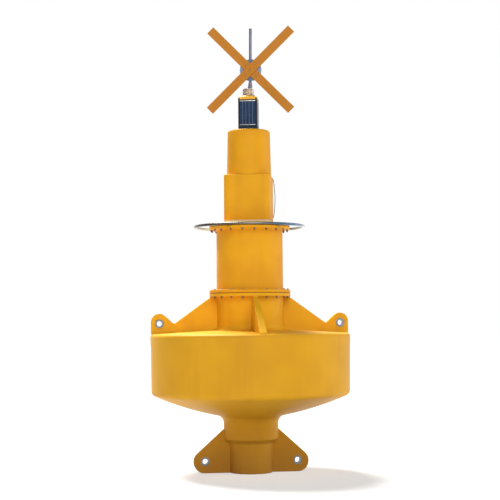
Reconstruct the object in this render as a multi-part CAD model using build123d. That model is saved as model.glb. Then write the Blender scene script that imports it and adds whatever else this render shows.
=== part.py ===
from build123d import *
from math import acos, atan2, cos, hypot, radians, sin
import os

# Navigation buoy, millimetres. +Z is up and z = 0 is the flat foot that it parks on.
# X runs through the two lifting lugs and Y through the two plain gusset fins, with -Y the front.

fit_gap = 0.3

# Keel: neck, tapered shoulder, foot cylinder and the two mooring wings
foot_radius = 195.0
foot_edge_radius = 8.0
foot_top = 262.0
neck_radius = 245.0
neck_bottom = 300.0
keel_top = 425.0
keel_spigot_radius = 190.0
keel_spigot_height = 60.0
wing_thickness = 52.0
wing_edge_radius = 6.0
wing_tip_x = 421.0
wing_tip_radius = 98.0
wing_slope = 42.0
mooring_hole_x = 416.0
mooring_hole_z = 104.0
ballast_radius = 150.0
ballast_bottom = 30.0
ballast_height = 190.0

# Float hull: dished bottom, drafted side, rounded rim and cambered deck
dish_inner_z = 499.0
dish_sag = 22.0
hull_radius = 897.0
hull_draft = 6.0
hull_low_z = 698.0
neck_fillet = 75.0
bilge_fillet = 48.0
rim_fillet = 28.0
deck_rim_z = 1238.0
deck_seat_z = 1270.0
deck_seat_margin = 2.0

# Pedestal and the tower's bolted flanges
flange_radius = 365.0
flange_thickness = 29.0
flange_root_fillet = 9.0
flange_edge_radius = 5.0
pedestal_radius = 300.0
pedestal_foot_radius = 340.0
pedestal_foot_lip = 4.0
pedestal_top = 1600.0

# Lower tower and its cover
tower_base_radius = 300.0
tower_head_radius = 298.0
tower_head_z = 2197.0
cover_flange_radius = 363.0
cover_thickness = 26.0

# Fins that brace the pedestal
fin_foot_thickness = 64.0
fin_head_thickness = 40.0
fin_edge_radius = 5.0
fin_toe_height = 14.0
fin_head_radius = 362.0
fin_head_drop = 7.0
fin_toe_inset = 34.0
lug_inset = 78.0
lug_hole_z = 1332.0
lug_rise = 15.0
lug_radius = 74.0
lug_eye_thickness = 50.0
lug_face_radius = 44.0
valley_from_lug = 131.0
valley_below_hole = 4.0
valley_fillet = 24.0

# Steel bushes in the eyes
bush_bore_radius = 23.5
bush_tube_radius = 31.0
bush_collar_radius = 39.0
bush_collar_thickness = 6.0

# Guard hoop, clamped in the upper flange joint by its tabs
hoop_stand_off = 127.0
hoop_tube_radius = 12.0
hoop_tab_width = 44.0
hoop_tab_thickness = 6.0
hoop_tab_bite = 58.0
hoop_tab_angles = (54.0, 126.0, 234.0, 306.0)

# Upper tower, turned on the flange so that it faces a little left of the front
tower_turn = -13.5
box_side = 414.0
box_aside = 4.0
box_corner_radius = 50.0
pad_thickness = 28.0
box_height = 411.0
box_edge_radius = 12.0
upper_base_radius = 201.0
upper_top_radius = 191.0
upper_height = 410.0
upper_edge_radius = 22.0

# Bowed steel rod beside the box
side_rod_radius = 4.0
side_rod_span = 350.0
side_rod_bow = 22.0
side_rod_stand = 6.0
side_rod_back = 120.0
side_rod_centre_up = 215.0

# Solar lantern on the tower's top
lantern_side = 172.0
lantern_corner = 12.0
lantern_height = 290.0
panel_width = 142.0
panel_height = 217.0
panel_thickness = 4.0
panel_sill = 47.0
cap_seat = 12.0
cap_corner_cut = 22.0
cap_skirt = 20.0
cap_dome = 19.0
cap_crown_radius = 67.0
lens_radius = 51.0
lens_taper = 3.0
lens_foot_radius = 58.0
lens_foot_height = 7.0
lens_height = 68.0
lens_edge_radius = 11.0

# Mast behind the lantern and the X topmark on it
mast_back = 126.0
mast_lean = 0.6
mast_radius = 13.4
mast_top = 4038.0
mast_insert = 220.0
socket_radius = 16.5
socket_collar_radius = 19.0
socket_collar_height = 36.0
socket_cone_height = 22.0
socket_top = 3535.0
socket_foot_radius = 32.0
socket_foot_thickness = 8.0
topmark_z = 3650.0
topmark_aside = 5.0
topmark_disc_radius = 100.0
topmark_disc_thickness = 8.0
topmark_bar_half = 528.0
topmark_bar_width = 80.0
topmark_bar_thickness = 12.0

# Places that follow from the sizes above
hull_low_radius = hull_radius - hull_draft
deck_seat_radius = pedestal_foot_radius + deck_seat_margin
lug_x = hull_radius - lug_inset
lug_z = lug_hole_z + lug_rise
valley_x = lug_x - valley_from_lug
valley_z = lug_hole_z - valley_below_hole
flange_bottom = pedestal_top - flange_thickness
tower_foot_top = pedestal_top + flange_thickness
cover_top = tower_head_z + cover_thickness
box_bottom = cover_top + pad_thickness
box_top = box_bottom + box_height
upper_top = box_top + upper_height
lantern_top = upper_top + lantern_height
cap_bottom = lantern_top - cap_seat
cap_top = cap_bottom + cap_skirt + cap_dome
hoop_z = tower_head_z + hoop_tab_thickness / 2
hoop_radius = cover_flange_radius + hoop_stand_off
hoop_tab_inner = cover_flange_radius - hoop_tab_bite


def cylinder(radius, bottom, top):
    """A solid round column on the buoy's axis."""
    return Pos(0, 0, bottom) * Cylinder(radius, top - bottom, align=(Align.CENTER, Align.CENTER, Align.MIN))


def turned(*edges):
    """A solid turned about Z from an outline in the XZ plane that closes on itself."""
    face = Plane.XZ * make_face(Curve() + list(edges))
    return revolve(face, axis=Axis.Z)


def round_edge(part, radius, z):
    """The circular edge of a turned part that lies nearest a radius and a height."""
    edges = part.edges().filter_by(GeomType.CIRCLE)
    return edges.sort_by(lambda edge: hypot(edge.radius - radius, edge.arc_center.Z - z))[0]


def rounded(part, table):
    """A turned part with its circular edges filleted, from rows of (edge radius, z, fillet)."""
    for edge_radius, z, size in table:
        part = fillet(round_edge(part, edge_radius, z), size)
    return part


def slab(outline, thickness):
    """A plate of the given thickness, centred on Y = 0, from an outline in X and Z."""
    return extrude(Plane.XZ * outline, amount=thickness / 2, both=True)


def deck_height(radius):
    """Height of the cambered deck at a distance from the axis."""
    share = (radius - deck_seat_radius) / (hull_radius - deck_seat_radius)
    return deck_seat_z + (deck_rim_z - deck_seat_z) * max(share, 0)


def eye_bush(x, z, plate_thickness):
    """A flanged steel bush, its bore along Y, in the eye of a plate."""
    length = plate_thickness + 2 * bush_collar_thickness
    tube = Cylinder(bush_tube_radius, length)
    for side in (-1, 1):
        collar = Cylinder(bush_collar_radius, bush_collar_thickness)
        tube += Pos(0, 0, side * (plate_thickness + bush_collar_thickness) / 2) * collar
    tube -= Cylinder(bush_bore_radius, length)
    return Pos(x, 0, z) * Rot(90, 0, 0) * tube


def eye_hole(x, z, plate_thickness):
    """The hole that a bush sits in, with the fit's clearance."""
    return Pos(x, 0, z) * Rot(90, 0, 0) * Cylinder(bush_tube_radius + fit_gap, 2 * plate_thickness)


def on_outline(edge, inner_x, lowest_z):
    """Whether an edge of a plate lies on its face's outline, out from a distance and up from a height."""
    middle = edge @ 0.5
    return abs(middle.Y) > fit_gap and middle.X > inner_x and middle.Z > lowest_z


def mirrored(part):
    """The same piece on the other side of the YZ plane."""
    return mirror(part, about=Plane.YZ)


def float_hull():
    """The float: a solid of revolution with a socket for the keel's spigot."""
    dish_start = (neck_radius, dish_inner_z)
    bilge = (hull_low_radius, hull_low_z)
    dish_mid = ((neck_radius + hull_low_radius) / 2, (dish_inner_z + hull_low_z) / 2 - dish_sag)
    rim = (hull_radius, deck_rim_z)
    seat = (deck_seat_radius, deck_seat_z)
    hull = turned(
        Line((0, keel_top), (neck_radius, keel_top)),
        Line((neck_radius, keel_top), dish_start),
        ThreePointArc(dish_start, dish_mid, bilge),
        Line(bilge, rim),
        Line(rim, seat),
        Line(seat, (0, deck_seat_z)),
        Line((0, deck_seat_z), (0, keel_top)),
    )
    rounds = [(*dish_start, neck_fillet), (*bilge, bilge_fillet), (*rim, rim_fillet)]
    hull = rounded(hull, rounds)
    socket_top_z = keel_top + keel_spigot_height + fit_gap
    return hull - cylinder(keel_spigot_radius + fit_gap, keel_top, socket_top_z)


def wing_outline():
    """One mooring wing, from inside the neck out to its round tip."""
    along = (sin(radians(wing_slope)), cos(radians(wing_slope)))
    tip = (wing_tip_x, wing_tip_radius)
    touch = (tip[0] + wing_tip_radius * along[0], tip[1] + wing_tip_radius * along[1])
    root_x = neck_radius / 2
    root_z = touch[1] + (touch[0] - root_x) * along[0] / along[1]
    points = [(0, 0), (tip[0], 0), tip, touch, (root_x, root_z), (0, root_z)]
    return make_face(Polyline(*points, close=True)) + Pos(*tip) * Circle(wing_tip_radius)


def keel_body():
    """Neck, shoulder, foot and mooring wings in one moulding, hollow round the ballast."""
    column = turned(
        Polyline(
            (0, 0),
            (foot_radius, 0),
            (foot_radius, foot_top),
            (neck_radius, neck_bottom),
            (neck_radius, keel_top),
            (0, keel_top),
            (0, 0),
        )
    )
    column = rounded(column, [(foot_radius, 0, foot_edge_radius)])
    wing = slab(wing_outline(), wing_thickness)
    outer = [edge for edge in wing.edges() if on_outline(edge, neck_radius, foot_edge_radius)]
    wing = fillet(outer, wing_edge_radius)
    limit = cylinder(wing_tip_x + 2 * wing_tip_radius, 0, keel_top)
    wings = (wing + mirrored(wing)) & limit
    spigot = cylinder(keel_spigot_radius, keel_top, keel_top + keel_spigot_height)
    body = column + wings + spigot
    for side in (-1, 1):
        body -= eye_hole(side * mooring_hole_x, mooring_hole_z, wing_thickness)
    ballast_top = ballast_bottom + ballast_height
    pocket = cylinder(ballast_radius + fit_gap, ballast_bottom - fit_gap, ballast_top + fit_gap)
    return body - pocket


def ballast_block():
    """The heavy ballast, one plain block inside the foot."""
    return cylinder(ballast_radius, ballast_bottom, ballast_bottom + ballast_height)


def pedestal(gap=0.0):
    """The drum under the tower, with its flared foot and its flange, grown by a gap."""
    foot = pedestal_foot_radius + gap
    drum = pedestal_radius + gap
    flare = pedestal_foot_radius - pedestal_radius
    lip_z = deck_seat_z + pedestal_foot_lip + gap
    bend = (drum + flare * (1 - cos(radians(45))), lip_z + flare * (1 - sin(radians(45))))
    body = turned(
        Line((0, deck_seat_z), (foot, deck_seat_z)),
        Line((foot, deck_seat_z), (foot, lip_z)),
        ThreePointArc((foot, lip_z), bend, (drum, lip_z + flare)),
        Polyline(
            (drum, lip_z + flare),
            (drum, flange_bottom - gap),
            (flange_radius + gap, flange_bottom - gap),
            (flange_radius + gap, pedestal_top),
            (0, pedestal_top),
            (0, deck_seat_z),
        ),
    )
    rounds = [
        (drum, flange_bottom - gap, flange_root_fillet - gap),
        (flange_radius + gap, pedestal_top, flange_edge_radius),
    ]
    return rounded(body, rounds)


def drafted(outline):
    """A moulded fin: a plate from an outline in X and Z, thinner towards its head."""
    foot_half = fin_foot_thickness / 2
    head_half = fin_head_thickness / 2
    foot = [(-foot_half, deck_rim_z), (foot_half, deck_rim_z)]
    head = [(head_half, pedestal_top), (-head_half, pedestal_top)]
    section = make_face(Polyline(*foot, *head, close=True))
    wedge = extrude(Plane.YZ * section, amount=hull_radius)
    return slab(outline, fin_foot_thickness) & wedge


def fin(with_lug):
    """A fin along +X, from the pedestal to the hull's rim, with or without its lifting lug."""
    head_z = flange_bottom - fit_gap
    inner = (pedestal_radius / 2, head_z)
    head = (fin_head_radius, head_z)
    shoulder = (fin_head_radius, head_z - fin_head_drop)
    toe_x = hull_radius - fin_toe_inset
    toe_z = deck_height(toe_x) + fit_gap
    foot_in = (pedestal_radius / 2, deck_height(0) + fit_gap)
    knee = (deck_seat_radius, deck_height(deck_seat_radius) + fit_gap)
    if with_lug:
        reach = hypot(lug_x - valley_x, lug_z - valley_z)
        turn = atan2(valley_z - lug_z, valley_x - lug_x) - acos(lug_radius / reach)
        touch = (lug_x + lug_radius * cos(turn), lug_z + lug_radius * sin(turn))
        edge_x = lug_x + lug_radius
        lug_foot = (edge_x, deck_height(edge_x) + fit_gap)
        lug = [lug_foot, (edge_x, lug_z), (lug_x, lug_z), touch, (valley_x, valley_z)]
        face = make_face(Polyline(foot_in, knee, *lug, shoulder, head, inner, close=True))
        face += Pos(lug_x, lug_z) * Circle(lug_radius)
        nearest = face.vertices().sort_by_distance((valley_x, valley_z, 0))[0]
        face = fillet(nearest, valley_fillet)
    else:
        toe = [(toe_x, toe_z), (toe_x, toe_z + fin_toe_height)]
        face = make_face(Polyline(foot_in, knee, *toe, shoulder, head, inner, close=True))
    plate = drafted(face)
    lowest = deck_seat_z + fin_edge_radius
    outer = [edge for edge in plate.edges() if on_outline(edge, fin_head_radius, lowest)]
    plate = fillet(outer, fin_edge_radius) - pedestal(fit_gap)
    if with_lug:
        plate -= eye_hole(lug_x, lug_hole_z, fin_foot_thickness)
        for side in (-1, 1):
            spot_face = Rot(90, 0, 0) * Cylinder(lug_face_radius, fin_foot_thickness)
            plate -= Pos(lug_x, side * (lug_eye_thickness + fin_foot_thickness) / 2, lug_hole_z) * spot_face
    return plate


def tower_lower():
    """The lower tower, with a flange at its foot and one at its head."""
    head_bottom = tower_head_z - cover_thickness
    tower = turned(
        Polyline(
            (0, pedestal_top),
            (flange_radius, pedestal_top),
            (flange_radius, tower_foot_top),
            (tower_base_radius, tower_foot_top),
            (tower_head_radius, head_bottom),
            (cover_flange_radius, head_bottom),
            (cover_flange_radius, tower_head_z),
            (0, tower_head_z),
            (0, pedestal_top),
        )
    )
    rounds = [
        (tower_base_radius, tower_foot_top, flange_root_fillet),
        (tower_head_radius, head_bottom, flange_root_fillet),
        (flange_radius, pedestal_top, flange_edge_radius),
        (flange_radius, tower_foot_top, flange_edge_radius),
        (cover_flange_radius, head_bottom, flange_edge_radius),
        (cover_flange_radius, tower_head_z, flange_edge_radius),
    ]
    return rounded(tower, rounds)


def hoop_tab(angle, gap=0.0):
    """One flat tab of the hoop, lying on the lower tower's top flange, grown by a gap."""
    length = hoop_radius - hoop_tab_inner + gap
    tab = Box(length, hoop_tab_width + 2 * gap, hoop_tab_thickness + gap)
    centre_x = hoop_tab_inner - gap + length / 2
    return Rot(0, 0, angle) * Pos(centre_x, 0, hoop_z + gap / 2) * tab


def guard_hoop():
    """The round-tube hoop with its four welded tabs."""
    hoop = Pos(0, 0, hoop_z) * Torus(hoop_radius, hoop_tube_radius)
    for angle in hoop_tab_angles:
        hoop += hoop_tab(angle)
    return hoop


def tower_cover():
    """The cover bolted on the lower tower, notched below for the hoop's tabs."""
    cover = cylinder(cover_flange_radius, tower_head_z, cover_top)
    rims = [(cover_flange_radius, z, flange_edge_radius) for z in (tower_head_z, cover_top)]
    cover = rounded(cover, rims)
    for angle in hoop_tab_angles:
        cover -= hoop_tab(angle, fit_gap)
    return cover


def upper(part):
    """A piece of the upper tower, turned with it about the axis."""
    return Rot(0, 0, tower_turn) * part


def box_outline():
    """The rounded square of the box section, which sits a little left of the tower's axis."""
    return Pos(-box_aside, 0) * RectangleRounded(box_side, box_side, box_corner_radius)


def base_pad():
    """The pale pad between the cover and the box section."""
    return upper(extrude(Pos(0, 0, cover_top) * box_outline(), amount=pad_thickness))


def tower_upper():
    """The box section and the drafted drum above it, one moulding."""
    box = extrude(Pos(0, 0, box_bottom) * box_outline(), amount=box_height)
    box = fillet(box.edges().group_by(Axis.Z)[-1], box_edge_radius)
    drum_bottom = box_top - 2 * box_edge_radius
    drum = turned(
        Polyline(
            (0, drum_bottom),
            (upper_base_radius, drum_bottom),
            (upper_base_radius, box_top),
            (upper_top_radius, upper_top),
            (0, upper_top),
            (0, drum_bottom),
        )
    )
    drum = rounded(drum, [(upper_top_radius, upper_top, upper_edge_radius)])
    return upper(box + drum)


def side_rod():
    """The thin rod, bowed outwards, beside the box's +X face."""
    face_x = box_side / 2 - box_aside
    mid_z = box_bottom + side_rod_centre_up
    low = (face_x + side_rod_stand, 0, mid_z - side_rod_span / 2)
    high = (face_x + side_rod_stand, 0, mid_z + side_rod_span / 2)
    middle = (face_x + side_rod_bow, 0, mid_z)
    path = ThreePointArc(low, middle, high)
    rod = sweep(Plane(origin=path @ 0, z_dir=path % 0) * Circle(side_rod_radius), path=path)
    for end in (low, high):
        peg = Cylinder(side_rod_radius, side_rod_stand, align=(Align.CENTER, Align.CENTER, Align.MIN))
        rod += Pos(face_x, 0, end[2]) * Rot(0, 90, 0) * peg
    return upper(Pos(0, side_rod_back, 0) * rod)


def panel(turn_angle, gap=0.0):
    """One solar panel, let into the lantern's side that faces the turned -Y way."""
    width = panel_width + 2 * gap
    height = panel_height + 2 * gap
    plate = Box(width, panel_thickness + gap, height)
    y = -lantern_side / 2 + (panel_thickness + gap) / 2
    z = upper_top + panel_sill + panel_height / 2
    return upper(Rot(0, 0, turn_angle) * Pos(0, y, z) * plate)


def cap_outline():
    """The cap's outline: the lantern's square with its corners cut off."""
    square = RectangleRounded(lantern_side, lantern_side, lantern_corner)
    across = lantern_side * cos(radians(45)) * 2 - cap_corner_cut
    return square & Rot(0, 0, 45) * Rectangle(across, across)


def lantern_body():
    """The lantern's dark housing: recesses for the panels, and corner posts beside the cap."""
    outline = RectangleRounded(lantern_side, lantern_side, lantern_corner)
    body = extrude(Pos(0, 0, upper_top) * outline, amount=lantern_height)
    body -= extrude(Pos(0, 0, cap_bottom) * cap_outline(), amount=cap_seat)
    body = upper(body)
    for turn_angle in (0, 90, 180, 270):
        body -= panel(turn_angle, fit_gap)
    return body


def lantern_cap():
    """The domed cap: a skirt let in between the corner posts and a crown under the lens."""
    skirt = extrude(Pos(0, 0, cap_bottom) * cap_outline(), amount=cap_skirt)
    low = Pos(0, 0, cap_bottom + cap_skirt) * cap_outline()
    high = Pos(0, 0, cap_top) * Circle(cap_crown_radius)
    return upper(skirt + loft([low, high]))


def lantern_lens():
    """The clear lens on the cap, drafted and wider at its foot."""
    lens_top = cap_top + lens_height
    wall = ((lens_radius + lens_taper, cap_top), (lens_radius, lens_top))
    lens = turned(Polyline((0, cap_top), *wall, (0, lens_top), (0, cap_top)))
    lens = rounded(lens, [(lens_radius, lens_top, lens_edge_radius)])
    return upper(lens + cylinder(lens_foot_radius, cap_top, cap_top + lens_foot_height))


def leaned(part):
    """A piece on the mast's line, which leans a little about the middle of its foot."""
    foot = Pos(0, 0, upper_top)
    return foot * Rot(0, mast_lean, 0) * foot.inverse() * part


def mast_socket():
    """The tube behind the lantern that holds the mast, with a round foot and a clamp collar."""
    collar_bottom = socket_top - socket_cone_height - socket_collar_height
    foot = cylinder(socket_foot_radius, upper_top, upper_top + socket_foot_thickness)
    tube = cylinder(socket_radius, upper_top + socket_foot_thickness / 2, collar_bottom)
    collar = cylinder(socket_collar_radius, collar_bottom, socket_top - socket_cone_height)
    cone = Pos(0, 0, socket_top - socket_cone_height / 2) * Cone(
        socket_collar_radius, socket_radius, socket_cone_height
    )
    bore = cylinder(mast_radius + fit_gap, socket_top - mast_insert - fit_gap, socket_top)
    return upper(Pos(0, mast_back, 0) * (foot + leaned(tube + collar + cone - bore)))


def mast_rod():
    """The mast, a plain round rod."""
    return upper(Pos(0, mast_back, 0) * leaned(cylinder(mast_radius, socket_top - mast_insert, mast_top)))


def topmark_disc():
    """The round plate that ties the cross to the mast."""
    y = mast_back - mast_radius - topmark_disc_thickness / 2
    disc = Rot(90, 0, 0) * Cylinder(topmark_disc_radius, topmark_disc_thickness)
    return upper(leaned(Pos(topmark_aside, y, topmark_z) * disc))


def topmark_bar(layer, slant):
    """One bar of the cross; layer 0 lies on the disc and layer 1 on the first bar."""
    y = mast_back - mast_radius - topmark_disc_thickness - topmark_bar_thickness * (layer + 0.5)
    bar = Box(2 * topmark_bar_half, topmark_bar_thickness, topmark_bar_width)
    return upper(leaned(Pos(topmark_aside, y, topmark_z) * Rot(0, slant, 0) * bar))


lifting_fin = fin(True)
gusset_fin = fin(False)
pieces = {
    "float_hull": float_hull(),
    "keel_body": keel_body(),
    "ballast_block": ballast_block(),
    "mooring_bush_right": eye_bush(mooring_hole_x, mooring_hole_z, wing_thickness),
    "mooring_bush_left": eye_bush(-mooring_hole_x, mooring_hole_z, wing_thickness),
    "pedestal": pedestal(),
    "lifting_fin_right": lifting_fin,
    "lifting_fin_left": mirrored(lifting_fin),
    "gusset_fin_front": Rot(0, 0, -90) * gusset_fin,
    "gusset_fin_back": Rot(0, 0, 90) * gusset_fin,
    "lifting_bush_right": eye_bush(lug_x, lug_hole_z, lug_eye_thickness),
    "lifting_bush_left": eye_bush(-lug_x, lug_hole_z, lug_eye_thickness),
    "tower_lower": tower_lower(),
    "guard_hoop": guard_hoop(),
    "tower_cover": tower_cover(),
    "base_pad": base_pad(),
    "tower_upper": tower_upper(),
    "side_rod": side_rod(),
    "lantern_body": lantern_body(),
    "lantern_cap": lantern_cap(),
    "lantern_lens": lantern_lens(),
    "mast_socket": mast_socket(),
    "mast_rod": mast_rod(),
    "topmark_disc": topmark_disc(),
    "topmark_bar_back": topmark_bar(0, 45),
    "topmark_bar_front": topmark_bar(1, -45),
}
for name, turn_angle in (("front", 0), ("right", 90), ("back", 180), ("left", 270)):
    pieces["solar_panel_" + name] = panel(turn_angle)

os.makedirs("parts", exist_ok=True)
for name, piece in pieces.items():
    export_step(piece, "parts/" + name + ".step")
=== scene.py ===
import bmesh
import bpy
from math import cos, pi, radians, sin
from mathutils import Matrix, Vector


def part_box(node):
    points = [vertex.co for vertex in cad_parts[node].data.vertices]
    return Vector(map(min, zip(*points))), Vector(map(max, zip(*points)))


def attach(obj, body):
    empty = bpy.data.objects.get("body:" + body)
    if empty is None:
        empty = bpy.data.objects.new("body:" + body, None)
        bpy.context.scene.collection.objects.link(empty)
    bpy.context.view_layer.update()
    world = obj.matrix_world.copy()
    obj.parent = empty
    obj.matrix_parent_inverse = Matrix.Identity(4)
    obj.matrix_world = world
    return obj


# Looks of the navigation buoy, metres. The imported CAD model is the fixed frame.
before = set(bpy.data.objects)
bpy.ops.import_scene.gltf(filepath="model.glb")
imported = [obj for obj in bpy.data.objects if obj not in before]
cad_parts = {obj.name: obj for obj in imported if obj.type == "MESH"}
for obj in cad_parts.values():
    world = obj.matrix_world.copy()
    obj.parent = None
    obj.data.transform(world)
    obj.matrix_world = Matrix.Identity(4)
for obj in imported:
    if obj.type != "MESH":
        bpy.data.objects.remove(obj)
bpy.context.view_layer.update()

# Camera: chest height, a little left of the front
camera_distance = 12.0
camera_height = 1.3595
camera_azimuth = radians(7.5)
camera_pan = radians(0.0174)
camera_pitch = radians(3.013)
camera_roll = radians(-0.45)
camera_lens = 95.75
camera_sensor = 36.0

# Level that the white surround has for soft reflected light, and the floor's own glow for the camera
surround_level = 0.08
floor_glow = 0.50
floor_half = 60.0
floor_drop = 0.0005

# Tower: the upper part is turned on its flange, and its lantern and mast with it
tower_turn = radians(-13.5)
flange_thickness = 0.029
cover_thickness = 0.026

# Mast: it stands behind the lantern and leans a little about the middle of its foot
mast_back = 0.126
mast_lean = radians(0.6)
mast_radius = 0.0134

# Flange bolts, M12 with washers. Every fifth place of the lower joint is in line with a fin.
bolts_per_joint = 20
fin_every = 5
bolt_circle = 0.3455
bolt_flats = 0.019
bolt_head_height = 0.0075
bolt_radius = 0.006
nut_height = 0.0105
thread_reach = 0.007
thread_pitch = 0.00175
thread_depth = 0.0009
tip_depth = 0.0016
hexagon_chamfer = 0.0012
washer_radius = 0.0112
washer_height = 0.0025
washer_edge = 0.0006

# Dirt that gathers in the groove between two flanges: half its width, and how much it covers
joint_dirt_half = 0.0055
joint_dirt_share = 0.85

# Guard hoop's tabs and the beads that weld them to the tube
hoop_radius = 0.490
hoop_tube_radius = 0.012
hoop_tab_angles = (54.0, 126.0, 234.0, 306.0)
hoop_tab_width = 0.044
hoop_tab_thickness = 0.006
bead_reach = 0.005
bead_rise = 0.0035
bead_offset = 0.001

# Topmark: bolts through the arms, and straps that hold its disc to the mast
topmark_bolt_reach = 0.0515
topmark_bar_thickness = 0.012
topmark_disc_thickness = 0.008
topmark_aside = 0.005
strap_offset = 0.062
strap_width = 0.020
strap_thickness = 0.003

# Shared tones. Each pair of yellows has its light tone first. The hull's pair is darker than the
# tower's, which is painted shade, and the pedestal's is more yellow, which is painted light.
TOWER_YELLOWS = ((0.84, 0.405, 0.016, 1.0), (0.74, 0.325, 0.014, 1.0))
PEDESTAL_YELLOWS_LIT = ((0.84, 0.450, 0.016, 1.0), (0.76, 0.385, 0.014, 1.0))
HULL_YELLOWS_SHADED = ((0.75, 0.380, 0.018, 1.0), (0.69, 0.335, 0.017, 1.0))
FADED_YELLOW = (0.92, 0.52, 0.035, 1.0)
DARKER_BROWN = (0.37, 0.165, 0.028, 1.0)
JOINT_DIRT = (0.36, 0.13, 0.012, 1.0)
CROSS_PRIMER = (0.30, 0.20, 0.12, 1)
ROD_TONE = (0.66, 0.64, 0.59, 1)


class Level:
    """A number or colour that varies over a surface; arithmetic on levels adds Math nodes."""

    def __init__(self, finish, socket):
        self.finish = finish
        self.socket = socket

    def maths(self, operation, first, second):
        return self.finish.node("ShaderNodeMath", {"operation": operation}, {0: first, 1: second})

    def __add__(self, other):
        return self.maths("ADD", self, other)

    def __sub__(self, other):
        return self.maths("SUBTRACT", self, other)

    def __rsub__(self, other):
        return self.maths("SUBTRACT", other, self)

    def __mul__(self, other):
        return self.maths("MULTIPLY", self, other)

    __radd__ = __add__
    __rmul__ = __mul__

    def shaped(self, operation):
        """This level after a Math node that takes one number, such as ABSOLUTE or FRACT."""
        return self.finish.node("ShaderNodeMath", {"operation": operation}, {0: self})


class Finish:
    """A material on one Principled shader, whose fixed numbers are set on its own sockets."""

    def __init__(self, name, fixed):
        self.material = bpy.data.materials.new(name)
        self.material.use_nodes = True
        self.tree = self.material.node_tree
        self.shader = self.tree.nodes["Principled BSDF"]
        for socket, value in fixed.items():
            self.shader.inputs[socket].default_value = value

    def node(self, kind, settings, inputs, output=0):
        """Any other node: its settings first, then the values or links of its sockets."""
        made = self.tree.nodes.new(kind)
        for name, value in settings.items():
            setattr(made, name, value)
        for key, value in inputs.items():
            self.set(made.inputs[key], value)
        return Level(self, made.outputs[output])

    def set(self, socket, value):
        if isinstance(value, Level):
            self.tree.links.new(value.socket, socket)
        else:
            socket.default_value = value

    def paint(self, **varying):
        """Links what changes over the surface to the shader, by socket name with _ for a space."""
        for name, value in varying.items():
            self.set(self.shader.inputs[name.replace("_", " ")], value)
        return self.material

    def place(self, stretch=(1, 1, 1), turn=0.0):
        """Object coordinates, turned about Z and then stretched."""
        here = self.node("ShaderNodeTexCoord", {}, {}, "Object")
        inputs = {"Vector": here, "Rotation": (0, 0, turn), "Scale": stretch}
        return self.node("ShaderNodeMapping", {}, inputs)

    def along(self, axis, turn=0.0):
        """One Object coordinate, in metres, after a turn about Z."""
        return self.node("ShaderNodeSeparateXYZ", {}, {0: self.place(turn=turn)}, axis)

    def facing_up(self):
        """How far a face points up, from -1 to 1."""
        normal = self.node("ShaderNodeNewGeometry", {}, {}, "Normal")
        return self.node("ShaderNodeSeparateXYZ", {}, {0: normal}, "Z")

    def cloud(self, per_metre, detail=3.0, stretch=(1, 1, 1)):
        """Soft noise from 0 to 1, with that many cells to the metre."""
        inputs = {"Vector": self.place(stretch), "Scale": per_metre, "Detail": detail}
        return self.node("ShaderNodeTexNoise", {}, inputs)

    def step(self, level, low, high):
        """0 below low and 1 above high, with a smooth rise between."""
        inputs = {"Value": level, "From Min": low, "From Max": high}
        return self.node("ShaderNodeMapRange", {"interpolation_type": "SMOOTHSTEP"}, inputs)

    def mixed(self, share, first, second):
        """The first colour where the share is 0 and the second where it is 1."""
        return self.node("ShaderNodeMix", {"data_type": "RGBA"}, {0: share, 6: first, 7: second}, 2)

    def bump(self, height, depth):
        """A normal from a height map that is depth metres deep."""
        return self.node("ShaderNodeBump", {}, {"Height": height, "Distance": depth})


def moulded_yellow(name, yellows, darker_below_z=0.0, darker_below_share=0.0, joints=()):
    """Moulded polyethylene: broad tone, pellet grain, faded top, darker towards the bottom and dirty
    joints.
    """
    finish = Finish(name, {"IOR": 1.5, "Specular IOR Level": 0.10})
    tone = finish.cloud(2.4, 2.0)
    run = finish.step(finish.cloud(10.0, 2.0, (1, 1, 0.10)), 0.50, 0.72)
    grain = finish.cloud(300.0, 2.0)
    peel = finish.cloud(130.0, 1.0)
    sway = finish.cloud(5.0, 1.0)
    light, deep = yellows
    colour = finish.mixed(finish.step(tone, 0.30, 0.70), deep, light)
    colour = finish.mixed(0.16 * finish.step(finish.facing_up(), 0.30, 0.95), colour, FADED_YELLOW)
    colour = finish.mixed(0.10 * run, colour, DARKER_BROWN)
    # Darker towards the bottom, up to a given height.
    if darker_below_z:
        low = 1 - finish.step(finish.along("Z") + 0.10 * tone, 0.0, darker_below_z)
        colour = finish.mixed(low * darker_below_share, colour, DARKER_BROWN)
    for joint_z in joints:
        off = (finish.along("Z") - joint_z).shaped("ABSOLUTE")
        clean = finish.step(off, joint_dirt_half / 2, joint_dirt_half)
        colour = finish.mixed(joint_dirt_share - joint_dirt_share * clean, colour, JOINT_DIRT)
    colour = finish.mixed(0.05 * grain, colour, FADED_YELLOW)
    height = 0.35 * peel + 0.10 * grain + sway
    roughness = 0.40 + 0.10 * tone + 0.06 * grain
    return finish.paint(Base_Color=colour, Roughness=roughness, Normal=finish.bump(height, 0.0011))


def lantern_yellow():
    """Injection-moulded cap: smoother, with fine grain and dust where it faces up."""
    finish = Finish("cap_yellow", {"IOR": 1.5, "Specular IOR Level": 0.25})
    grain = finish.cloud(900.0, 2.0)
    dust = finish.step(finish.cloud(45.0), 0.45, 0.75) * finish.step(finish.facing_up(), 0.2, 0.9)
    colour = finish.mixed(0.35 * dust, (0.84, 0.44, 0.03, 1), (0.72, 0.52, 0.22, 1))
    roughness = 0.32 + 0.15 * dust + 0.05 * grain
    return finish.paint(Base_Color=colour, Roughness=roughness, Normal=finish.bump(grain, 0.00012))


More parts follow.
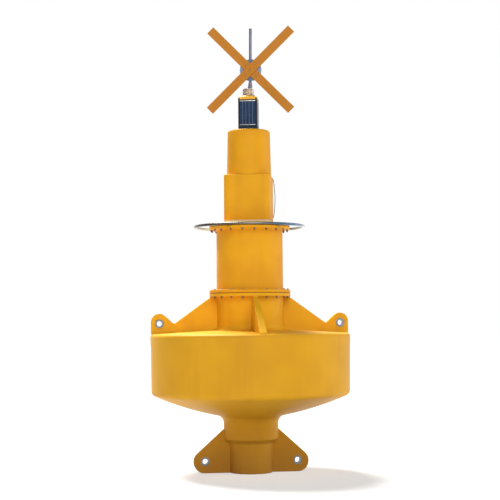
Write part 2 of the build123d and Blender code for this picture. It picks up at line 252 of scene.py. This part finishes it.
def galvanised(name, bright, dull, shine):
    """Hot-dip zinc: crystals of two greys, with dull patches."""
    finish = Finish(name, {"Metallic": 1.0})
    inputs = {"Vector": finish.place(), "Scale": 170.0}
    crystal = finish.node("ShaderNodeTexVoronoi", {}, inputs, "Color")
    crystal = finish.node("ShaderNodeSeparateColor", {}, {0: crystal})
    patch = finish.step(finish.cloud(30.0), 0.40, 0.70)
    colour = finish.mixed(0.6 * crystal + 0.4 * patch, bright, dull)
    roughness = shine + 0.12 * crystal + 0.14 * patch
    relief = finish.bump(finish.cloud(500.0), 0.0001)
    return finish.paint(Base_Color=colour, Roughness=roughness, Normal=relief)


def polished_tube(name, behind_left, behind_right):
    """Polished steel tube with painted reflections: in front brown at its left to blue at its right,
    and other tones behind.
    """
    finish = Finish(name, {"Metallic": 1.0})
    lines = finish.cloud(60.0, 2.0, (0.15, 0.15, 12.0))
    blotch = finish.cloud(7.0)
    across = finish.along("X") + 0.08 * blotch
    # Painted reflection: dull marks the tube's front half, which gets the tint below, and the back half
    # gets the tones behind.
    dull = 1 - finish.step(finish.along("Y"), -0.05, 0.25)
    tint = (0.030, 0.022, 0.015, 1)
    for low, high, tone in (
        (-0.48, 0.05, (0.14, 0.135, 0.12, 1)),
        (0.05, 0.28, (0.060, 0.105, 0.170, 1)),
        (0.38, 0.52, (0.34, 0.36, 0.39, 1)),
    ):
        tint = finish.mixed(finish.step(across, low, high), tint, tone)
    behind = finish.mixed(finish.step(across, -0.10, 0.30), behind_left, behind_right)
    colour = finish.mixed(dull, behind, tint)
    roughness = 0.16 + 0.10 * blotch + 0.05 * lines
    return finish.paint(Base_Color=colour, Roughness=roughness, Normal=finish.bump(lines, 0.00008))


def fastener(name, clean, stained):
    """Turned and hexagon steel fasteners, satin with brown tea stains."""
    finish = Finish(name, {"Metallic": 1.0})
    stain = finish.step(finish.cloud(120.0), 0.42, 0.72)
    colour = finish.mixed(0.6 * stain, clean, stained)
    roughness = 0.30 + 0.25 * stain
    relief = finish.bump(finish.cloud(900.0), 0.00006)
    return finish.paint(Base_Color=colour, Roughness=roughness, Normal=relief)


def pale_rubber():
    """The cream pad: matt, with closed-cell pores and a dusty face."""
    finish = Finish("pad_rubber", {"IOR": 1.5})
    inputs = {"Vector": finish.place(), "Scale": 420.0}
    pores = finish.node("ShaderNodeTexVoronoi", {}, inputs, "Distance")
    dust = finish.cloud(22.0)
    colour = finish.mixed(0.6 * dust, (0.86, 0.74, 0.46, 1), (0.66, 0.54, 0.34, 1))
    roughness = 0.72 + 0.15 * dust
    return finish.paint(Base_Color=colour, Roughness=roughness, Normal=finish.bump(pores, 0.0004))


def lantern_black():
    """The lantern's housing: near-black plastic with a spark-eroded texture, and a bluer band below its
    panels that is a painted reflection.
    """
    finish = Finish("housing_black", {"IOR": 1.5, "Specular IOR Level": 0.12})
    texture = finish.cloud(1400.0, 2.0)
    dust = finish.step(finish.cloud(26.0), 0.45, 0.8)
    # Painted reflection: a bluer band just under the panels' sill.
    sill_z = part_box("solar_panel_front")[0].z
    band_rise = 0.006
    band = 1 - finish.step(finish.along("Z"), sill_z - band_rise, sill_z)
    colour = finish.mixed(0.5 * dust, (0.006, 0.009, 0.014, 1), (0.014, 0.02, 0.032, 1))
    colour = finish.mixed(band, colour, (0.011, 0.030, 0.054, 1))
    roughness = 0.42 + 0.14 * dust + 0.06 * texture
    return finish.paint(Base_Color=colour, Roughness=roughness, Normal=finish.bump(texture, 0.00015))


def solar_cells(name, turn):
    """Cells under a clear face: four busbars up the panel, gaps between rows and a crystal tint."""
    fixed = {"IOR": 1.5, "Specular IOR Level": 0.1, "Coat Roughness": 0.06, "Coat Weight": 0.1}
    finish = Finish(name, fixed)
    fingers_per_metre = 400.0
    rows_per_metre = 27.6
    across = finish.along("X", turn)
    inputs = {"Vector": finish.place((1, 1, 0.5)), "Scale": 70.0}
    crystal = finish.node("ShaderNodeTexVoronoi", {}, inputs, "Color")
    crystal = finish.node("ShaderNodeSeparateColor", {}, {0: crystal})
    colour = finish.mixed(crystal, (0.006, 0.022, 0.070, 1), (0.014, 0.036, 0.100, 1))
    for busbar_x in (-0.045, -0.015, 0.015, 0.045):
        off = (across - busbar_x).shaped("ABSOLUTE")
        on_busbar = 1 - finish.step(off, 0.0010, 0.0020)
        colour = finish.mixed(0.75 * on_busbar, colour, (0.20, 0.26, 0.36, 1))
    fingers = (finish.along("Z") * fingers_per_metre).shaped("FRACT")
    colour = finish.mixed(0.25 * finish.step(fingers, 0.7, 0.9), colour, (0.10, 0.14, 0.22, 1))
    rows = (finish.along("Z") * rows_per_metre).shaped("FRACT")
    colour = finish.mixed(0.8 * finish.step(rows, 0.96, 0.98), colour, (0.006, 0.008, 0.02, 1))
    return finish.paint(Base_Color=colour, Roughness=0.30 + 0.15 * crystal)


def clear_lens():
    """The lantern's lens: clear, faintly warm plastic, with light scuffs."""
    fixed = {"IOR": 1.25, "Transmission Weight": 0.85, "Coat Weight": 0.3, "Coat Roughness": 0.05}
    finish = Finish("lens_plastic", fixed)
    scuff = finish.step(finish.cloud(60.0, 4.0, (1, 1, 0.3)), 0.5, 0.8)
    colour = finish.mixed(0.5 * scuff, (0.70, 0.60, 0.58, 1), (0.56, 0.46, 0.42, 1))
    return finish.paint(Base_Color=colour, Roughness=0.05 + 0.15 * scuff)


def optic_cream():
    """The ribbed optic inside the lens: milky plastic with darker roots between its rings."""
    finish = Finish("optic_milky", {"IOR": 1.5})
    veil = finish.cloud(40.0)
    colour = finish.mixed(veil, (0.95, 0.88, 0.62, 1), (0.74, 0.62, 0.40, 1))
    return finish.paint(Base_Color=colour, Roughness=0.35 + 0.2 * veil)


def mast_metal():
    """Mast and socket: drawn aluminium with a dull skin and fine lines along it."""
    finish = Finish("mast_aluminium", {"Metallic": 0.85})
    lines = finish.cloud(300.0, 2.0, (1, 1, 0.02))
    patch = finish.cloud(24.0, 3.0, (1, 1, 0.4))
    dull = finish.step(patch, 0.35, 0.7)
    colour = finish.mixed(dull, (0.160, 0.168, 0.205, 1), (0.112, 0.120, 0.150, 1))
    roughness = 0.38 + 0.15 * patch + 0.08 * lines
    return finish.paint(Base_Color=colour, Roughness=roughness, Normal=finish.bump(lines, 0.0001))


def painted(name, coat, worn, primer, painted_light_sides=None):
    """Brushed-on paint: strokes, chalking and chips to the primer, and a paler tone at its sides that
    is painted light.
    """
    finish = Finish(name, {"IOR": 1.5, "Specular IOR Level": 0.25})
    stroke = finish.cloud(90.0, 2.0, (1.0, 1.0, 0.25))
    chalk = finish.cloud(9.0)
    chip = finish.step(finish.cloud(75.0, 6.0), 0.70, 0.73)
    colour = finish.mixed(0.5 * chalk + 0.25 * stroke, coat, worn)
    # Painted light and reflection: the disc's two sides paler than its middle.
    if painted_light_sides:
        across = finish.along("X", -tower_turn) - topmark_aside
        aside = finish.step(across.shaped("ABSOLUTE"), 0.030, 0.065)
        colour = finish.mixed(0.9 * aside, colour, painted_light_sides)
    colour = finish.mixed(0.8 * chip, colour, primer)
    height = 0.4 * stroke - chip
    roughness = 0.42 + 0.18 * chalk + 0.15 * chip
    return finish.paint(Base_Color=colour, Roughness=roughness, Normal=finish.bump(height, 0.0002))


def cast_iron():
    """The closed-in ballast block: rough casting."""
    finish = Finish("ballast_iron_cast", {"Metallic": 0.7})
    sand = finish.cloud(160.0, 5.0)
    colour = finish.mixed(sand, (0.16, 0.15, 0.15, 1), (0.30, 0.24, 0.20, 1))
    return finish.paint(Base_Color=colour, Roughness=0.6 + 0.25 * sand, Normal=finish.bump(sand, 0.001))


def to_piece(name, bm, finish, crease=35.0):
    """A finished mesh from a bmesh, smooth up to a crease angle, riding on the buoy's one body."""
    bmesh.ops.recalc_face_normals(bm, faces=bm.faces)
    mesh = bpy.data.meshes.new(name)
    bm.to_mesh(mesh)
    bm.free()
    mesh.shade_smooth()
    mesh.set_sharp_from_angle(angle=radians(crease))
    mesh.materials.append(finish)
    piece = bpy.data.objects.new(name, mesh)
    bpy.context.scene.collection.objects.link(piece)
    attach(piece, "root")
    return piece


def turned(bm, outline, steps):
    """Adds a shape turned about Z from an outline of (radius, z) points."""
    path = [bm.verts.new((radius, 0, z)) for radius, z in outline]
    runs = [bm.edges.new(pair) for pair in zip(path, path[1:])]
    bmesh.ops.spin(
        bm, geom=path + runs, cent=(0, 0, 0), axis=(0, 0, 1), angle=2 * pi, steps=steps, use_merge=True
    )
    bmesh.ops.remove_doubles(bm, verts=bm.verts, dist=1e-6)


def hexagon(bm, flats, bottom, height, chamfer):
    """Adds a hexagon prism on Z with its outer edges chamfered."""
    middle = Matrix.Translation((0, 0, bottom + height / 2))
    radius = flats / 2 / cos(radians(30))
    made = bmesh.ops.create_cone(
        bm, cap_ends=True, segments=6, radius1=radius, radius2=radius, depth=height, matrix=middle
    )
    edges = {edge for vert in made["verts"] for edge in vert.link_edges}
    rings = [edge for edge in edges if abs(edge.verts[0].co.z - edge.verts[1].co.z) < 1e-6]
    bmesh.ops.bevel(
        bm, geom=rings, offset=chamfer, segments=1, profile=0.5, affect="EDGES", material=-1
    )


def washer_outline():
    """Half section of a washer with broken edges, standing on z = 0."""
    face_radius = washer_radius - washer_edge
    return [
        (0, 0), (face_radius, 0), (washer_radius, washer_edge),
        (washer_radius, washer_height - washer_edge), (face_radius, washer_height), (0, washer_height),
    ]


def threaded_end(bm, bottom, height):
    """Adds a bolt's threaded end with a chamfered tip."""
    turns = int(height / thread_pitch)
    outline = [(0, bottom)]
    for index in range(turns):
        low = bottom + index * thread_pitch
        outline += [(bolt_radius - thread_depth, low), (bolt_radius, low + thread_pitch / 2)]
    outline += [(bolt_radius - tip_depth, bottom + height), (0, bottom + height)]
    turned(bm, outline, 16)


def bolt_head_mesh():
    """A washer with a hexagon bolt head on it, standing on z = 0."""
    bm = bmesh.new()
    turned(bm, washer_outline(), 24)
    hexagon(bm, bolt_flats, washer_height, bolt_head_height, hexagon_chamfer)
    return to_template(bm)


def bolt_nut_mesh():
    """A washer, a nut and the bolt's end, standing on z = 0."""
    bm = bmesh.new()
    turned(bm, washer_outline(), 24)
    hexagon(bm, bolt_flats, washer_height, nut_height, hexagon_chamfer)
    threaded_end(bm, washer_height + nut_height, thread_reach)
    return to_template(bm)


def to_template(bm):
    """A mesh to stamp copies from."""
    mesh = bpy.data.meshes.new("template")
    bm.to_mesh(mesh)
    bm.free()
    return mesh


def stamped(name, template, places, finish):
    """One piece that holds a copy of a template mesh at each place."""
    bm = bmesh.new()
    for place in places:
        first = len(bm.verts)
        bm.from_mesh(template)
        bm.verts.ensure_lookup_table()
        bmesh.ops.transform(bm, matrix=place, verts=bm.verts[first:])
    bpy.data.meshes.remove(template)
    return to_piece(name, bm, finish)


def bolt_places(z, upside_down, between_fins):
    """Places round the bolt circle, on or under a flange, all of them or those between the fins."""
    turn_per_bolt = 0.7
    flip = Matrix.Rotation(pi, 4, "X") if upside_down else Matrix.Identity(4)
    places = []
    for index in range(bolts_per_joint):
        if between_fins and index % fin_every == 0:
            continue
        angle = 2 * pi * index / bolts_per_joint
        spot = Vector((bolt_circle * cos(angle), bolt_circle * sin(angle), z))
        own_turn = Matrix.Rotation(index * turn_per_bolt, 4, "Z")
        places.append(Matrix.Translation(spot) @ own_turn @ flip)
    return places


def flange_bolts(head_steel, steel):
    """Heads above and nuts below the lower joint, and nuts on studs under the cover's joint."""
    joint_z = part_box("pedestal")[1].z
    head_flange_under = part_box("tower_lower")[1].z - cover_thickness
    above = bolt_places(joint_z + flange_thickness, upside_down=False, between_fins=True)
    below = bolt_places(joint_z - flange_thickness, upside_down=True, between_fins=True)
    under_cover = bolt_places(head_flange_under, upside_down=True, between_fins=False)
    stamped("joint_bolt_heads", bolt_head_mesh(), above, head_steel)
    stamped("joint_bolt_nuts", bolt_nut_mesh(), below, steel)
    stamped("cover_bolt_heads", bolt_nut_mesh(), under_cover, steel)


def hoop_welds(steel):
    """Weld beads above and below each tab, where it meets the hoop's tube."""
    middle_z = sum(corner.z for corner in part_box("guard_hoop")) / 2
    bm = bmesh.new()
    bmesh.ops.create_uvsphere(bm, u_segments=20, v_segments=10, radius=1.0)
    bmesh.ops.scale(bm, vec=(bead_reach, hoop_tab_width / 2, bead_rise), verts=bm.verts)
    bead_radius = hoop_radius - hoop_tube_radius + bead_offset
    height = hoop_tab_thickness / 2 + bead_offset
    places = []
    for angle in hoop_tab_angles:
        turn = Matrix.Rotation(radians(angle), 4, "Z")
        for side in (-1, 1):
            spot = (bead_radius, 0, middle_z + side * height)
            places.append(turn @ Matrix.Translation(spot))
    stamped("hoop_weld_beads", to_template(bm), places, steel)


def parting_line(yellow):
    """The mould's parting line round the float, just under its rounded rim."""
    line_z = 1.2085
    sink = 0.0006
    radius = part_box("float_hull")[1].x - sink
    root = radius - 0.004
    flank = radius + 0.0006
    crest = radius + 0.0012
    half = 0.0022
    shoulder = half * 0.6
    outline = [
        (root, line_z - half), (flank, line_z - shoulder), (crest, line_z),
        (flank, line_z + shoulder), (root, line_z + half),
    ]
    bm = bmesh.new()
    turned(bm, outline, 180)
    to_piece("float_parting_line", bm, yellow, 60.0)


def on_tower(bm):
    """Turns what is built facing the front onto the turned upper tower."""
    turn = Matrix.Rotation(tower_turn, 3, "Z")
    bmesh.ops.rotate(bm, cent=(0, 0, 0), matrix=turn, verts=bm.verts)


def bar(bm, low, high, edge):
    """Adds a straight bar between two corners, with its edges rounded."""
    low, high = Vector(low), Vector(high)
    size = Matrix.Diagonal((*(high - low), 1))
    middle = Matrix.Translation((low + high) / 2)
    made = bmesh.ops.create_cube(bm, size=1.0, matrix=middle @ size)
    edges = {link for vert in made["verts"] for link in vert.link_edges}
    bmesh.ops.bevel(
        bm, geom=list(edges), offset=edge, segments=2, profile=0.5, affect="EDGES", material=-1
    )


def panel_rails(metal):
    """Thin rails that hold each solar panel at its top and its foot."""
    panel_low, panel_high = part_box("solar_panel_front")
    half_width = 0.071
    face = -0.086
    front, back = face - 0.0015, face + 0.001
    edge = 0.0005
    head_rail = (panel_high.z - 0.004, panel_high.z + 0.004)
    foot_rail = (panel_low.z - 0.003, panel_low.z + 0.002)
    bm = bmesh.new()
    for side in range(4):
        first = len(bm.verts)
        for low_z, high_z in (head_rail, foot_rail):
            bar(bm, (-half_width, front, low_z), (half_width, back, high_z), edge)
        bm.verts.ensure_lookup_table()
        quarter = Matrix.Rotation(side * pi / 2, 3, "Z")
        bmesh.ops.rotate(bm, cent=(0, 0, 0), matrix=quarter, verts=bm.verts[first:])
    on_tower(bm)
    to_piece("panel_rails", bm, metal)


def lens_optic(cream):
    """The optic inside the lens: a barrel of ring prisms on a short stem."""
    low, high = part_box("lantern_lens")
    bottom = low.z + 0.006
    room = 0.016
    rings = 9
    root_radius = 0.025
    ring_radius = 0.031
    root_half = 0.0006
    cap_radius = 0.018
    cap_height = 0.002
    pitch = (high.z - low.z - room) / rings
    outline = [(0, bottom), (root_radius, bottom)]
    for index in range(rings):
        z = bottom + index * pitch
        foot, crest, head = z + root_half, z + pitch / 2, z + pitch - root_half
        outline += [(root_radius, foot), (ring_radius, crest), (root_radius, head)]
    top = bottom + rings * pitch + cap_height
    outline += [(cap_radius, top), (0, top)]
    bm = bmesh.new()
    turned(bm, outline, 48)
    to_piece("lens_optic", bm, cream, 25.0)


def mast_line():
    """Places what is built round an upright mast onto the leaned mast of the turned tower."""
    foot_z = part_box("tower_upper")[1].z
    lean = Matrix.Rotation(mast_lean, 4, "Y")
    turn = Matrix.Rotation(tower_turn, 4, "Z")
    to_foot = Matrix.Translation((0, mast_back, foot_z))
    return turn @ to_foot @ lean @ Matrix.Translation((0, 0, -foot_z))


def topmark_centre_z():
    """Height of the cross's middle on the upright mast."""
    return sum(corner.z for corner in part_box("topmark_disc")) / 2


def topmark_bolts(paint):
    """Four bolts through the arms of the cross and one at its centre, with washers, painted over."""
    bolt_scale = 0.9
    disc_front = -mast_radius - topmark_disc_thickness
    forward = Matrix.Rotation(pi / 2, 4, "X") @ Matrix.Scale(bolt_scale, 4)
    places = []
    for x, z, layers in ((-1, -1, 2), (1, 1, 2), (-1, 1, 1), (1, -1, 1), (0, 0, 2)):
        spot = (
            topmark_aside + x * topmark_bolt_reach,
            disc_front - layers * topmark_bar_thickness,
            topmark_centre_z() + z * topmark_bolt_reach,
        )
        places.append(mast_line() @ Matrix.Translation(spot) @ forward)
    stamped("topmark_bolt_heads", bolt_head_mesh(), places, paint)


def mast_straps(metal, steel):
    """Two straps bent round the back of the mast, each held to the disc by a pair of nuts."""
    foot_reach = 0.040
    nut_reach = 0.030
    nut_scale = 0.62
    steps = 14
    angles = [pi * step / steps for step in range(steps + 1)]
    bend = [(mast_radius * cos(angle), mast_radius * sin(angle)) for angle in angles]
    right_foot = [(foot_reach, -mast_radius), (mast_radius, -mast_radius)]
    left_foot = [(-mast_radius, -mast_radius), (-foot_reach, -mast_radius)]
    bm = bmesh.new()
    for side in (-1, 1):
        low_z = topmark_centre_z() + side * strap_offset - strap_width / 2
        points = [bm.verts.new((x, y, low_z)) for x, y in right_foot + bend + left_foot]
        line = [bm.edges.new(pair) for pair in zip(points, points[1:])]
        made = bmesh.ops.extrude_edge_only(bm, edges=line)["geom"]
        risen = [item for item in made if isinstance(item, bmesh.types.BMVert)]
        bmesh.ops.translate(bm, vec=(0, 0, strap_width), verts=risen)
    bmesh.ops.recalc_face_normals(bm, faces=bm.faces)
    bmesh.ops.solidify(bm, geom=bm.faces[:], thickness=strap_thickness)
    bmesh.ops.transform(bm, matrix=mast_line(), verts=bm.verts)
    to_piece("mast_straps", bm, metal)
    backward = Matrix.Rotation(-pi / 2, 4, "X") @ Matrix.Scale(nut_scale, 4)
    strap_back = strap_thickness - mast_radius
    places = []
    for side in (-1, 1):
        strap_z = topmark_centre_z() + side * strap_offset
        for across in (-1, 1):
            spot = (across * nut_reach, strap_back, strap_z)
            places.append(mast_line() @ Matrix.Translation(spot) @ backward)
    stamped("mast_strap_nuts", bolt_nut_mesh(), places, steel)


def socket_screws(steel):
    """Four screws through the mast socket's foot and two clamp screws in its collar."""
    foot_thickness = 0.008
    screw_circle = 0.0255
    collar_side = 0.0188
    low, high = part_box("mast_socket")
    small = Matrix.Scale(0.42, 4)
    places = []
    foot_top = Matrix.Translation((0, mast_back, low.z + foot_thickness))
    foot = Matrix.Rotation(tower_turn, 4, "Z") @ foot_top
    for quarter in range(4):
        angle = pi / 4 + quarter * pi / 2
        spot = Matrix.Translation((screw_circle * cos(angle), screw_circle * sin(angle), 0))
        places.append(foot @ spot @ small)
    for below_top in (0.034, 0.046):
        spot = Matrix.Translation((-collar_side, 0, high.z - below_top))
        places.append(mast_line() @ spot @ Matrix.Rotation(-pi / 2, 4, "Y") @ small)
    stamped("mast_socket_screws", bolt_head_mesh(), places, steel)


def photo_camera():
    """The camera at the photograph's viewpoint, looking slightly up and rolled a little."""
    data = bpy.data.cameras.new("photo_camera")
    data.lens = camera_lens
    data.sensor_width = camera_sensor
    camera = bpy.data.objects.new("photo_camera", data)
    x = -camera_distance * sin(camera_azimuth)
    y = -camera_distance * cos(camera_azimuth)
    yaw = Matrix.Rotation(-camera_azimuth - camera_pan, 4, "Z")
    pitch = Matrix.Rotation(pi / 2 + camera_pitch, 4, "X")
    roll = Matrix.Rotation(camera_roll, 4, "Z")
    camera.matrix_world = Matrix.Translation((x, y, camera_height)) @ yaw @ pitch @ roll
    bpy.context.scene.collection.objects.link(camera)
    bpy.context.scene.camera = camera


def soft_lamp(name, azimuth, elevation, level, spread, colour):
    """A broad even lamp; azimuth 0 shines from the camera's side and 90 from its right."""
    data = bpy.data.lights.new(name, "SUN")
    data.energy = level * pi
    data.angle = radians(spread)
    data.color = colour
    lamp = bpy.data.objects.new(name, data)
    around = radians(azimuth) - camera_azimuth
    up = radians(elevation)
    towards = Vector((sin(around) * cos(up), -cos(around) * cos(up), sin(up)))
    lamp.rotation_mode = "QUATERNION"
    lamp.rotation_quaternion = towards.to_track_quat("Z", "Y")
    bpy.context.scene.collection.objects.link(lamp)


def seen_ray(tree):
    """1 for rays that come from the camera, a mirror-like surface or clear plastic."""
    path = tree.nodes.new("ShaderNodeLightPath")
    total = path.outputs["Is Camera Ray"]
    for name in ("Is Glossy Ray", "Is Transmission Ray"):
        largest = tree.nodes.new("ShaderNodeMath")
        largest.operation = "MAXIMUM"
        tree.links.new(total, largest.inputs[0])
        tree.links.new(path.outputs[name], largest.inputs[1])
        total = largest.outputs[0]
    return total


def scaled(tree, socket, low, high):
    """A number that is low where the socket is 0 and high where it is 1."""
    node = tree.nodes.new("ShaderNodeMapRange")
    node.inputs["To Min"].default_value = low
    node.inputs["To Max"].default_value = high
    tree.links.new(socket, node.inputs["Value"])
    return node.outputs[0]


def white_surround():
    """White for what is seen, and a lower level for the light that it gives."""
    world = bpy.data.worlds.new("surround")
    world.use_nodes = True
    tree = world.node_tree
    background = tree.nodes["Background"]
    background.inputs["Color"].default_value = (1, 1, 1, 1)
    strength = scaled(tree, seen_ray(tree), surround_level, 1.0)
    tree.links.new(strength, background.inputs["Strength"])
    bpy.context.scene.world = world


def pale_floor():
    """A wide white floor that keeps the buoy's shadow, clear when seen from below."""
    bm = bmesh.new()
    bmesh.ops.create_grid(bm, x_segments=1, y_segments=1, size=floor_half)
    bmesh.ops.translate(bm, vec=(0, 0, -floor_drop), verts=bm.verts)
    mesh = bpy.data.meshes.new("floor")
    bm.to_mesh(mesh)
    bm.free()
    fixed = {"Base Color": (0.5, 0.5, 0.5, 1), "Roughness": 1.0, "Specular IOR Level": 0.0}
    finish = Finish("floor_white", fixed)
    finish.shader.inputs["Emission Color"].default_value = (1, 1, 1, 1)
    tree = finish.tree
    glow = scaled(tree, seen_ray(tree), 0.0, floor_glow)
    tree.links.new(glow, finish.shader.inputs["Emission Strength"])
    under = finish.node("ShaderNodeNewGeometry", {}, {}, "Backfacing")
    clear = finish.node("ShaderNodeBsdfTransparent", {}, {})
    shown = Level(finish, finish.shader.outputs[0])
    mix = finish.node("ShaderNodeMixShader", {}, {0: under, 1: shown, 2: clear})
    tree.links.new(mix.socket, tree.nodes["Material Output"].inputs["Surface"])
    mesh.materials.append(finish.material)
    floor = bpy.data.objects.new("floor", mesh)
    bpy.context.scene.collection.objects.link(floor)


def dress(node, finish):
    """Gives a CAD node its finish."""
    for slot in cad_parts[node].material_slots:
        slot.material = finish


photo_camera()
white_surround()
pale_floor()
soft_lamp("key", azimuth=8.0, elevation=28.0, level=0.47, spread=40.0, colour=(1.0, 0.97, 0.93))
soft_lamp("side", azimuth=100.0, elevation=12.0, level=0.26, spread=34.0, colour=(1.0, 1.0, 0.92))
soft_lamp("rim", azimuth=-150.0, elevation=58.0, level=2.3, spread=22.0, colour=(1.0, 0.99, 0.95))

joints = (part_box("pedestal")[1].z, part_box("tower_lower")[1].z)
# Painted shade: the float and keel take the darker hull yellows.
hull_yellow = moulded_yellow("float_yellow", HULL_YELLOWS_SHADED, darker_below_z=0.75, darker_below_share=0.20)
keel_yellow = moulded_yellow("keel_yellow", HULL_YELLOWS_SHADED, darker_below_z=0.60, darker_below_share=0.80)
# Painted light: the pedestal and fins take the brighter pedestal yellows.
pedestal_yellow = moulded_yellow("pedestal_yellow", PEDESTAL_YELLOWS_LIT, joints=joints)
tower_yellow = moulded_yellow("tower_yellow", TOWER_YELLOWS, joints=joints)
head_steel = fastener("head_steel", (0.34, 0.28, 0.18, 1), (0.20, 0.12, 0.045, 1))
# The nuts' steel is a darker, browner copy of the heads' steel: its tone is partly stains and partly
# painted shade from under the flanges.
steel = fastener("bolt_steel_shaded", (0.25, 0.19, 0.115, 1), (0.145, 0.090, 0.042, 1))
rail_steel = fastener("rail_steel", (0.36, 0.37, 0.38, 1), (0.24, 0.20, 0.16, 1))
bush_zinc = galvanised("bush_zinc", (0.22, 0.23, 0.25, 1), (0.11, 0.115, 0.125, 1), shine=0.30)
mast_grey = mast_metal()
orange = painted("cross_orange", (0.57, 0.220, 0.015, 1), (0.46, 0.168, 0.017, 1), CROSS_PRIMER)
bolt_paint = painted(
    "cross_bolt_paint", (0.53, 0.235, 0.050, 1), (0.44, 0.185, 0.045, 1), CROSS_PRIMER
)
# The disc's paler sides are painted light and reflection.
blue = painted(
    "disc_blue_paint", (0.11, 0.17, 0.27, 1), (0.17, 0.24, 0.35, 1), (0.35, 0.37, 0.40, 1),
    painted_light_sides=(0.28, 0.36, 0.53, 1),
)
hoop = polished_tube("hoop_tube", (0.40, 0.325, 0.215, 1), (0.215, 0.155, 0.085, 1))
rod = polished_tube("rod_tube", ROD_TONE, ROD_TONE)
front_cells = solar_cells("cells_front", -tower_turn)
side_cells = solar_cells("cells_side", -tower_turn + pi / 2)
finishes = {
    "float_hull": hull_yellow,
    "keel_body": keel_yellow,
    "ballast_block": cast_iron(),
    "pedestal": pedestal_yellow,
    "lifting_fin_right": pedestal_yellow,
    "lifting_fin_left": pedestal_yellow,
    "gusset_fin_front": pedestal_yellow,
    "gusset_fin_back": pedestal_yellow,
    "tower_lower": tower_yellow,
    "tower_cover": tower_yellow,
    "tower_upper": tower_yellow,
    "mooring_bush_right": bush_zinc,
    "mooring_bush_left": bush_zinc,
    "lifting_bush_right": bush_zinc,
    "lifting_bush_left": bush_zinc,
    "guard_hoop": hoop,
    "side_rod": rod,
    "base_pad": pale_rubber(),
    "lantern_body": lantern_black(),
    "lantern_cap": lantern_yellow(),
    "lantern_lens": clear_lens(),
    "mast_socket": mast_grey,
    "mast_rod": mast_grey,
    "topmark_disc": blue,
    "topmark_bar_back": orange,
    "topmark_bar_front": orange,
    "solar_panel_front": front_cells,
    "solar_panel_back": front_cells,
    "solar_panel_left": side_cells,
    "solar_panel_right": side_cells,
}
for node, finish in finishes.items():
    dress(node, finish)

flange_bolts(head_steel, steel)
hoop_welds(hoop)
parting_line(hull_yellow)
panel_rails(rail_steel)
lens_optic(optic_cream())
topmark_bolts(bolt_paint)
mast_straps(mast_grey, steel)
socket_screws(steel)

bpy.context.scene.view_settings.view_transform = "Standard"
